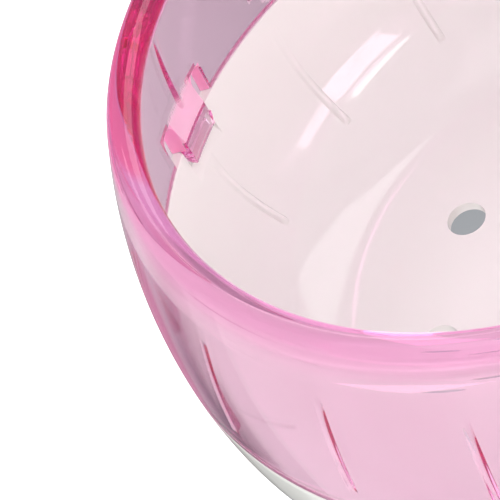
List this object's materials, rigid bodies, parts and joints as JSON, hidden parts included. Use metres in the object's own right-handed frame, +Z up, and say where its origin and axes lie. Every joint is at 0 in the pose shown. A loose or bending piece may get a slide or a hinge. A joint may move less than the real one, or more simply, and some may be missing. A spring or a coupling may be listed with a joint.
{
  "type": "hamster wheel",
  "caption": "Small pet exercise wheel: a clear pink and white drum with tread ribs, turning on a ball bearing on a white mast with a round foot plate and rubber feet.",
  "frame": {"origin": "on the floor, under the middle of the foot plate", "axes": "+Z up, the drum's axle lies along Y and its mouth faces -Y"},
  "size_m": [0.12, 0.112, 0.136],
  "materials": {
    "clear_pink": "clear, tinted, polished",
    "milk_white": "gloss moulded",
    "stand_white": "satin moulded",
    "zinc": "zinc plated",
    "bearing_steel": "ground",
    "cage_brass": "pressed",
    "foot_rubber": "matt"
  },
  "bodies": {
    "stand": {"foot_plate": "stand_white", "foot_front_right": "foot_rubber", "foot_front_left": "foot_rubber", "foot_rear_left": "foot_rubber", "foot_rear_right": "foot_rubber", "mast": "stand_white", "mast_cover": "stand_white", "cover_screws": "zinc", "mast_screws": "zinc", "axle_bolt": "zinc", "axle_spacer": "bearing_steel", "axle_washer": "zinc", "lock_nut": "zinc", "bearing_inner_race": "bearing_steel"},
    "drum": {"rear_dish": "milk_white", "front_ring": "clear_pink", "hub_cap": "milk_white", "bearing_outer_race": "bearing_steel", "bearing_shields": "zinc"},
    "ball_set": {"bearing_balls": "bearing_steel", "bearing_cage": "cage_brass"}
  },
  "joints": [
    {"name": "drum_spin", "type": "hinge", "parent": "stand", "child": "drum", "pos_m": [0, 0.0135, 0.076], "axis": [0, 1, 0], "continuous": true},
    {"name": "ball_set_spin", "type": "hinge", "parent": "stand", "child": "ball_set", "pos_m": [0, 0.0135, 0.076], "axis": [0, 1, 0], "continuous": true}
  ],
  "couplings": [
    {"joint": "ball_set_spin", "follows": "drum_spin", "ratio": 0.64286}
  ]
}
